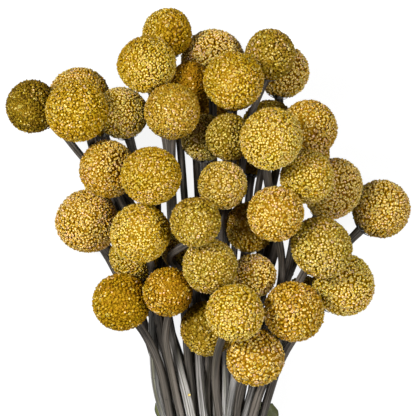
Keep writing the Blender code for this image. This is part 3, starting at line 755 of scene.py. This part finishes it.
def band_outline():
    """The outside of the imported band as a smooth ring, its middle, and its level."""
    mesh = frame["nodes"]["ribbon_band"].data
    raw = np.array([vertex.co[:] for vertex in mesh.vertices])
    flat = np.unique(np.round(raw[:, [0, 2]], 6), axis=0)
    middle = flat.mean(axis=0)
    flat = flat[np.argsort(np.arctan2(*(flat - middle).T[::-1]))]
    reach = np.linalg.norm(flat - middle, axis=1)
    turn = np.arctan2(*(flat - middle).T[::-1])
    outer = [k for k in range(len(flat))
             if reach[k] >= max(reach[j] for j in range(len(flat))
                                if abs(math.remainder(turn[j] - turn[k], 2 * math.pi)) < 0.1)]
    ring = flat[outer]
    for _ in range(3):
        ahead = np.roll(ring, -1, axis=0)
        ring = np.stack([0.75 * ring + 0.25 * ahead, 0.25 * ring + 0.75 * ahead],
                        axis=1).reshape(-1, 2)
    return ring, middle, (raw[:, 1].min() + raw[:, 1].max()) / 2


def wind_band(look):
    """The ribbon wound twice round the neck, each turn a little askew of the last."""
    ring, middle, level = band_outline()
    start = int(np.argmin(ring[:, 1]))
    ring = np.roll(ring, -start, axis=0)
    ring = np.vstack([ring, ring, ring[:3]])
    count = len(ring)
    turns = np.arange(count) / (count - 3) * WRAP_TURNS
    out = unit(ring - middle)
    sink = (0.80 - 0.46 * np.clip(turns - 0.9, 0, 1.1) / 1.1) * MM
    flat = ring - out * sink[:, None]
    askew = 0.9 * MM * np.sin(turns * math.pi - 0.7) * np.minimum(1, turns)
    centres = np.stack([flat[:, 0], level + askew, flat[:, 1]], axis=1)
    outs = np.stack([out[:, 0], np.zeros(count), out[:, 1]], axis=1)
    sides = np.tile([0.0, 1.0, 0.0], (count, 1))

    def crown(row, x):
        turn = turns[row] * 2 * math.pi
        crease = 0.10 * math.sin(9 * x + 2.2 * math.sin(turn * 1.5)) * (1 - x * x)
        return (0.05 - 0.14 * x ** 6 + 0.5 * crease) * MM

    piece, length = lay_ribbon("ribbon_wrap", "ribbon_band", centres, sides, outs,
                               np.full(count, WRAP_WIDTH * MM), crown, look, columns=11)


def tie_knot(look):
    """The short turn of ribbon that holds the bow, gathered into pleats."""
    centre, size = knot_box()
    angle = np.arange(40) * 2 * math.pi / 40
    bulge = np.sign(np.cos(angle)) * np.abs(np.cos(angle)) ** 0.75
    rise = np.sign(np.sin(angle)) * np.abs(np.sin(angle)) ** 0.75
    line = np.stack([np.zeros(40), bulge * (size[1] / 2 - 0.5 * MM),
                     rise * (size[2] / 2 - 0.5 * MM)], axis=1)
    line = evenly(line, 1.1 * MM, closed=True)
    outs = unit(line * (0, 1, 1.6))
    sides = np.tile([1.0, 0.0, 0.0], (len(line), 1))
    turn = np.arctan2(line[:, 2], line[:, 1])

    def crown(row, x):
        pleat = 0.50 * math.cos(12.5 * x + 0.9 * math.sin(turn[row] + 0.6))
        return (pleat - 2.1 * abs(x) ** 3.2) * MM

    piece, length = lay_ribbon("bow_knot", "ribbon_knot", line + centre, sides, outs,
                               np.full(len(line), size[0]), crown, look, closed=True,
                               columns=35)


def lay_loop(side, node, fold, fold_side, look):
    """One loop of the bow, laid back on itself on the floor."""
    start, reach = from_knot(side * 5.2, 0.0, fold)
    last_side = unit(np.array(fold_side, float))
    k = np.arange(len(LOOP_LINE))
    at = np.linspace(0, len(LOOP_LINE) - 1, 66)
    part = through(list(zip(k, [p for p, _ in LOOP_LINE])), at).clip(0, 1.002)
    height = through(list(zip(k, [h for _, h in LOOP_LINE])), at)
    bow = np.array([-side * reach[1], side * reach[0], 0.0]) * 0.10
    line = start + reach * part[:, None] + bow * np.sin(math.pi * part.clip(0, 1))[:, None]
    line[:, 2] = height - 0.15
    turned = np.minimum(part * 1.4, 1.0)[:, None]
    sides = unit(np.array([0.0, 1.0, 0.0]) * (1 - turned) + last_side * turned)
    widths = through(LOOP_WIDTHS, part)
    outs = unit(np.cross(sides, np.gradient(line, axis=0)))

    def crown(row, x):
        held = max(0.0, 1 - part[row] * 1.7) ** 1.5
        pleat = 0.85 * held * math.cos(8.2 * x + 0.4)
        wave = 0.28 * math.sin(at[row] * 0.9 + 1.3 * x) * (0.3 + abs(x)) * part[row]
        return (pleat + wave) * MM

    piece, length = lay_ribbon(node.replace("bow_", "satin_"), node, line * MM, sides, outs,
                               widths * MM, crown, look, columns=19)


def lay_tail(side, node, end, look):
    """One loose end of the ribbon, cut to a swallowtail."""
    start, reach = from_knot(side * 3.4, -7.8, end)
    part = np.linspace(-0.03, 1.0, 52)
    line = start + reach * part[:, None]
    line[:, 0] += side * 5.0 * np.sin(math.pi * part)
    line[:, 2] = through(TAIL_LINE, part) + 0.12
    widths = through(TAIL_WIDTHS, part)
    late = np.maximum(part - 0.85, 0) / 0.15
    sides = unit(np.stack([np.ones(52), 0.10 * side - 0.25 * side * late, np.zeros(52)],
                          axis=1))
    outs = unit(np.cross(sides, -np.gradient(line, axis=0)))
    outs = outs * np.sign(outs[:, 2:])

    def crown(row, x):
        held = max(0.0, 1 - part[row] * 2.6) ** 1.4
        pleat = 0.75 * held * math.cos(7.4 * x + 0.5)
        wave = 0.16 * math.sin(row * 0.33 + 2.0 * x)
        return (pleat + wave) * MM

    def notch(count, t):
        last_rows = np.clip((np.arange(count) - (count - 14)) / 13, 0, 1)
        pull = last_rows[:, None] * (1 - np.abs(t))[None] * 7.0 * MM
        return -unit(reach)[None, None] * pull[..., None]

    piece, length = lay_ribbon(node.replace("ribbon_", "satin_"), node, line * MM, sides,
                               outs, widths * MM, crown, look, columns=15, notch=notch)


# Materials

def add_node(tree, kind, place, **values):
    node = tree.nodes.new(kind)
    node.location = place
    for key, value in values.items():
        setattr(node, key, value)
    return node


def plug(tree, value, socket):
    """Lead another node's output into a socket, or set the socket to a value."""
    if isinstance(value, bpy.types.NodeSocket):
        tree.links.new(value, socket)
    else:
        socket.default_value = value


def reckon(tree, place, operation, *values):
    """One sum, of numbers and of what other nodes put out."""
    node = add_node(tree, "ShaderNodeMath", place, operation=operation)
    for value, socket in zip(values, node.inputs):
        plug(tree, value, socket)
    return node.outputs[0]


def shift_or_stretch(tree, place, operation, vector, by):
    node = add_node(tree, "ShaderNodeVectorMath", place, operation=operation)
    plug(tree, vector, node.inputs[0])
    node.inputs[1].default_value = by
    return node.outputs[0]


def map_place(tree, place, title):
    """A place on a named map, whole and as its two numbers."""
    node = add_node(tree, "ShaderNodeUVMap", place, uv_map=title)
    parts = add_node(tree, "ShaderNodeSeparateXYZ", (place[0] + 180, place[1]))
    plug(tree, node.outputs["UV"], parts.inputs[0])
    return node.outputs["UV"], parts.outputs["X"], parts.outputs["Y"]


def grain(tree, place, vector, stretch, scale=1.0, detail=2.0, roughness=0.5):
    """Noise over a vector that is stretched first."""
    noise = add_node(tree, "ShaderNodeTexNoise", (place[0] + 180, place[1]))
    for title, value in (("Scale", scale), ("Detail", detail), ("Roughness", roughness)):
        noise.inputs[title].default_value = value
    plug(tree, shift_or_stretch(tree, place, "MULTIPLY", vector, stretch),
         noise.inputs["Vector"])
    return noise.outputs["Fac"]


def ramp_between(tree, place, source, low, high, to_low=0.0, to_high=1.0):
    """A smooth step of a value from low to high."""
    node = add_node(tree, "ShaderNodeMapRange", place, interpolation_type="SMOOTHSTEP")
    for title, value in (("Value", source), ("From Min", low), ("From Max", high),
                         ("To Min", to_low), ("To Max", to_high)):
        plug(tree, value, node.inputs[title])
    return node.outputs["Result"]


def mix_colours(tree, place, factor, first, second, how="MIX"):
    node = add_node(tree, "ShaderNodeMix", place, data_type="RGBA", blend_type=how)
    sockets = [node.inputs[0]] + [socket for socket in node.inputs if socket.type == "RGBA"]
    for value, socket in zip((factor, first, second), sockets):
        plug(tree, value, socket)
    return [socket for socket in node.outputs if socket.type == "RGBA"][0]


def make_group(name, colours, outputs):
    """An empty shader group with named sockets: colours in, (name, kind) out."""
    group = bpy.data.node_groups.new(name, "ShaderNodeTree")
    for title, value in colours.items():
        socket = group.interface.new_socket(title, in_out="INPUT",
                                            socket_type="NodeSocketColor")
        socket.default_value = (*value, 1)
    for title, kind in outputs.items():
        group.interface.new_socket(title, in_out="OUTPUT", socket_type="NodeSocket" + kind)
    start = add_node(group, "NodeGroupInput", (-1100, 0))
    end = add_node(group, "NodeGroupOutput", (900, 0))
    return group, start.outputs, end.inputs


def floret_group():
    """Colour and gloss of a floret, from how pale it is and how high up it a place is, with
    painted shade at its foot and painted highlights on pale tips.
    """
    group, given, result = make_group(
        "floret_bead", {"Deep": (0.3, 0.2, 0.1), "Pale": (0.6, 0.4, 0.1),
                        "Tip highlight": (1.0, 0.9, 0.5), "Groove shade tint": GROOVE_SHADE_TINT,
                        "Greener tint": GREENER_TINT, "Pinker tint": PINKER_TINT},
        {"Colour": "Color", "Roughness": "Float"})
    _, paleness, level = map_place(group, (-1300, -300), "OFBake")
    bands = reckon(group, (-900, -400), "MULTIPLY", level, HUE_BANDS)
    height = reckon(group, (-750, -400), "FRACT", bands)
    greener = reckon(group, (-750, -600), "LESS_THAN", bands, 1.0)
    pinker = reckon(group, (-750, -800), "GREATER_THAN", bands, 2.0)
    pale = ramp_between(group, (-550, 200), paleness, -0.15, 0.95)
    side = mix_colours(group, (-350, 200), pale, given["Deep"], given["Pale"])
    # Painted shade: the low part of each floret darkens towards the crevices
    up = ramp_between(group, (-550, -100), height, 0.10, 0.60)
    groove_shade = mix_colours(group, (-350, -100), up, given["Groove shade tint"], WHITE)
    body = mix_colours(group, (-150, 100), 1.0, side, groove_shade, "MULTIPLY")
    # Painted highlight: the tips of pale florets turn cream
    top = ramp_between(group, (-550, -250), height, 0.50, 0.86)
    bright = ramp_between(group, (-550, -500), paleness, 0.45, 0.92)
    both = reckon(group, (-350, -350), "MULTIPLY", top, bright)
    whole = mix_colours(group, (50, 100), both, body, given["Tip highlight"])
    for n, (share, tint) in enumerate(((greener, "Greener tint"), (pinker, "Pinker tint"))):
        hue = mix_colours(group, (50, -200 - 200 * n), share, WHITE, given[tint])
        whole = mix_colours(group, (300 + 200 * n, 100), 1.0, whole, hue, "MULTIPLY")
    plug(group, whole, result["Colour"])
    plug(group, ramp_between(group, (300, -300), height, 0.2, 0.95, 0.75, 0.40),
         result["Roughness"])
    return group


def stem_group():
    """Grey bark in long wrinkles that follow the stem, with stains and specks. The broad
    streaks also paint a lit and a shaded side round each stem, and painted shade darkens
    its upper part under the heads.
    """
    group, given, result = make_group(
        "dry_stem", {"Pale": (0.4, 0.38, 0.33), "Deep": (0.16, 0.14, 0.11),
                     "Stain": (0.20, 0.19, 0.08), "Speck": (0.045, 0.035, 0.025),
                     "Shade under heads": (0.22, 0.19, 0.16)},
        {"Colour": "Color", "Roughness": "Float", "Height": "Float"})
    _, around, run = map_place(group, (-1500, -300), "run")
    turn = reckon(group, (-1200, -200), "MULTIPLY", around, 2 * math.pi)
    bark = add_node(group, "ShaderNodeCombineXYZ", (-850, -200))
    plug(group, reckon(group, (-1050, -100), "COSINE", turn), bark.inputs[0])
    plug(group, reckon(group, (-1050, -260), "SINE", turn), bark.inputs[1])
    plug(group, reckon(group, (-1050, -450), "MULTIPLY", run, 30.0), bark.inputs[2])
    bark = bark.outputs[0]
    wrinkles = grain(group, (-650, 200), bark, (1, 1, 0.35), 2.4, 4.0, 0.6)
    patches = grain(group, (-650, -50), bark, (1, 1, 1), 0.9, 3.0, 0.6)
    specks = grain(group, (-650, -300), bark, (1, 1, 6), 3.4, 2.0, 0.6)
    # Painted light and shade: the broad streaks also make one side of a stem lighter than the
    # other
    streak_and_side_shade = ramp_between(group, (-250, 200), wrinkles, 0.40, 0.60)
    stain = reckon(group, (0, -100), "MULTIPLY",
                   ramp_between(group, (-250, -50), patches, 0.48, 0.72), 0.45)
    speck = ramp_between(group, (-250, -300), specks, 0.68, 0.76)
    colour = mix_colours(group, (0, 200), streak_and_side_shade, given["Deep"], given["Pale"])
    colour = mix_colours(group, (250, 100), stain, colour, given["Stain"])
    colour = mix_colours(group, (500, 100), speck, colour, given["Speck"])
    # Painted shade: the upper part of each stem, under the heads, is darkened
    _, _, rise = map_place(group, (-300, 450), "OFBake")
    shade_under_heads = ramp_between(group, (100, 450), rise, 0.56, 0.80)
    shade = mix_colours(group, (350, 350), shade_under_heads, WHITE, given["Shade under heads"])
    plug(group, mix_colours(group, (650, 200), 1.0, colour, shade, "MULTIPLY"),
         result["Colour"])
    plug(group, ramp_between(group, (300, -200), wrinkles, 0.3, 0.7, 0.90, 0.68),
         result["Roughness"])
    plug(group, wrinkles, result["Height"])
    return group


def ribbon_group():
    """Satin: a shiny face of long threads, ribbed finely across, with raised edges coloured
    much darker than the face.
    """
    group, given, result = make_group(
        "satin_weave", {"Face": (0.12, 0.13, 0.03), "Fold": (0.06, 0.075, 0.01),
                        "Edge": (0.02, 0.03, 0.004)},
        {"Colour": "Color", "Roughness": "Float", "Height": "Float"})
    whole, across, run = map_place(group, (-1300, -300), "run")
    off = reckon(group, (-750, 100), "ABSOLUTE",
                 reckon(group, (-900, 100), "SUBTRACT", across, 0.5))
    rim = ramp_between(group, (-550, 100), off, 0.435, 0.475)
    ribs = reckon(group, (-750, -100), "SINE",
                  reckon(group, (-900, -100), "MULTIPLY", run, 2 * math.pi / RIB_STEP))
    threads = grain(group, (-900, -450), whole, (60.0, 260.0, 1.0), detail=3.0)
    clouds = grain(group, (-900, -700), whole, (2.5, 110.0, 1.0))
    dark = reckon(group, (-200, -500), "MULTIPLY",
                  ramp_between(group, (-400, -500), threads, 0.35, 0.65),
                  ramp_between(group, (-400, -700), clouds, 0.35, 0.65))
    face = mix_colours(group, (0, 100), dark, given["Face"], given["Fold"])
    plug(group, mix_colours(group, (300, 100), rim, face, given["Edge"]), result["Colour"])
    plug(group, ramp_between(group, (0, -200), threads, 0.3, 0.7, 0.34, 0.50),
         result["Roughness"])
    plug(group, reckon(group, (300, -300), "ADD", ribs, rim), result["Height"])
    return group


def blank_look(name):
    look = bpy.data.materials.new(name)
    look.use_nodes = True
    return look, look.node_tree, look.node_tree.nodes["Principled BSDF"]


def coat(tree, shader, colour, roughness, relief=None):
    """Colour, gloss and relief of a surface. Relief is height, strength, depth in mm."""
    plug(tree, colour, shader.inputs["Base Color"])
    plug(tree, roughness, shader.inputs["Roughness"])
    if relief:
        bump = add_node(tree, "ShaderNodeBump", (-250, -500))
        plug(tree, relief[0], bump.inputs["Height"])
        bump.inputs["Strength"].default_value = relief[1]
        bump.inputs["Distance"].default_value = relief[2] * MM
        plug(tree, bump.outputs["Normal"], shader.inputs["Normal"])


def group_look(name, group, colours, relief=None):
    """A material whose colour, gloss and relief come from one group."""
    look, tree, shader = blank_look(name)
    source = add_node(tree, "ShaderNodeGroup", (-500, 200), node_tree=group)
    for title, value in colours.items():
        source.inputs[title].default_value = (*value, 1)
    coat(tree, shader, source.outputs["Colour"], source.outputs["Roughness"],
         relief and (source.outputs["Height"], *relief))
    return look, shader


def pith_look():
    """The cut end of a stem: pale pith in a darker rim, with open pores darkened by painted
    shade.
    """
    look, tree, shader = blank_look("cut_pith")
    whole, _, _ = map_place(tree, (-1100, 0), "run")
    reach = add_node(tree, "ShaderNodeVectorMath", (-700, 0), operation="LENGTH")
    plug(tree, shift_or_stretch(tree, (-900, 0), "SUBTRACT", whole, (0.5, 0.5, 0.0)),
         reach.inputs[0])
    rim = ramp_between(tree, (-500, 0), reach.outputs["Value"], 0.30, 0.44)
    pores = add_node(tree, "ShaderNodeTexVoronoi", (-700, -300))
    pores.inputs["Scale"].default_value = 9.0
    plug(tree, whole, pores.inputs["Vector"])
    pores = pores.outputs["Distance"]
    # Painted shade in the pores
    pore_shade = ramp_between(tree, (-500, -300), pores, 0.10, 0.35)
    pith = mix_colours(tree, (-250, -100), pore_shade, (0.10, 0.07, 0.03, 1), (0.45, 0.36, 0.20, 1))
    coat(tree, shader, mix_colours(tree, (-50, 0), rim, pith, (0.14, 0.12, 0.07, 1)),
         ramp_between(tree, (-250, -400), pores, 0.0, 0.5, 0.95, 0.75), (pore_shade, 0.5, 0.3))
    return look


def scar_look():
    """Where a small leaf fell off: a dark mark, partly the scar's own colour and partly painted
    shade of a pit.
    """
    look, tree, shader = blank_look("leaf_scar")
    whole, _, _ = map_place(tree, (-900, 0), "run")
    rough = grain(tree, (-700, 0), whole, (12.0, 700.0, 1.0))
    shade = ramp_between(tree, (-300, 0), rough, 0.35, 0.65)
    # Painted shade of a pit, on a scar that stands raised
    colour = mix_colours(tree, (-100, 0), shade, (0.030, 0.024, 0.018, 1),
                         (0.085, 0.072, 0.058, 1))
    coat(tree, shader, colour, ramp_between(tree, (-300, -300), rough, 0.3, 0.7, 0.95, 0.75),
         (rough, 0.5, 0.2))
    return look


# Studio

def lay_floor():
    """A wide white floor: bright where the camera sees it, plain where light bounces."""
    far = FLOOR_HALF
    points = np.array([(-far, -far, -FLOOR_BELOW), (far, -far, -FLOOR_BELOW),
                       (far, far, -FLOOR_BELOW), (-far, far, -FLOOR_BELOW)])
    look, tree, shader = blank_look("studio_floor")
    tree.nodes.remove(shader)
    seen = add_node(tree, "ShaderNodeLightPath", (-800, 200)).outputs["Is Camera Ray"]
    paint = add_node(tree, "ShaderNodeBsdfDiffuse", (-300, 0))
    plug(tree, mix_colours(tree, (-500, 0), seen, (0.25, 0.25, 0.25, 1),
                           (0.16, 0.16, 0.16, 1)), paint.inputs["Color"])
    glow = add_node(tree, "ShaderNodeEmission", (-300, 200))
    plug(tree, reckon(tree, (-500, 300), "MULTIPLY", seen, FLOOR_GLOW),
         glow.inputs["Strength"])
    both = add_node(tree, "ShaderNodeAddShader", (-100, 100))
    plug(tree, paint.outputs[0], both.inputs[0])
    plug(tree, glow.outputs[0], both.inputs[1])
    plug(tree, both.outputs[0], tree.nodes["Material Output"].inputs["Surface"])
    floor = make_piece("studio_floor", points, np.array([(0, 1, 2), (0, 2, 3)]), {}, [look])


def hang_lamp(name, spot, width, power):
    """A round soft lamp, aimed at the middle of the heads."""
    lamp = bpy.data.lights.new(name, "AREA")
    lamp.shape = "DISK"
    lamp.size = width
    lamp.energy = power
    item = bpy.data.objects.new(name, lamp)
    item.location = spot
    way = Vector(LAMPS_AIM) - Vector(spot)
    item.rotation_euler = way.to_track_quat("-Z", "Y").to_euler()
    bpy.context.scene.collection.objects.link(item)


def set_studio():
    lay_floor()
    world = bpy.data.worlds.new("pale_room")
    world.use_nodes = True
    sky = world.node_tree.nodes["Background"]
    sky.inputs["Color"].default_value = WHITE
    sky.inputs["Strength"].default_value = ROOM_LIGHT
    bpy.context.scene.world = world
    for lamp in LAMPS:
        hang_lamp(*lamp)
    camera = bpy.data.cameras.new("photo_camera")
    camera.sensor_width = CAMERA_SENSOR
    camera.lens = CAMERA_LENS
    camera.clip_start = 0.01
    camera.clip_end = 50.0
    item = bpy.data.objects.new("photo_camera", camera)
    item.location = CAMERA_SPOT
    bpy.context.scene.collection.objects.link(item)
    bpy.context.scene.camera = item
    bpy.context.scene.view_settings.view_transform = "Standard"


def main():
    bead = floret_group()
    florets = {}
    for tint, colours in FLORET_COLOURS.items():
        florets[tint], shader = group_look("florets_" + tint, bead,
                                           dict(zip(("Deep", "Pale", "Tip highlight"), colours)))
        shader.inputs["Specular IOR Level"].default_value = FLORET_SHINE
    bark = stem_group()
    barks = [group_look("stem_grey_%d" % n, bark, {"Pale": pale, "Deep": deep},
                        (0.55, 0.4))[0]
             for n, (pale, deep) in enumerate(zip(STEM_PALE_LIT, STEM_DEEP_SHADED))]
    pith = pith_look()
    pit = scar_look()
    satin, shader = group_look("olive_satin", ribbon_group(), {}, (0.35, 0.12))
    shader.inputs["Sheen Weight"].default_value = 0.25
    for label in sorted(HEAD_LOOKS):
        flower = read_flower(frame["nodes"]["flower_" + label])
        grow_head(label, flower, florets[HEAD_LOOKS[label][0]])
        grow_stem(label, flower, [barks[int(label) % len(barks)], pith, pit])
    drop_floret(florets["gold"])
    wind_band(satin)
    tie_knot(satin)
    for side, node, fold, fold_side in LOOPS:
        lay_loop(side, node, fold, fold_side, satin)
    for side, node, end in TAILS:
        lay_tail(side, node, end, satin)
    set_studio()


main()
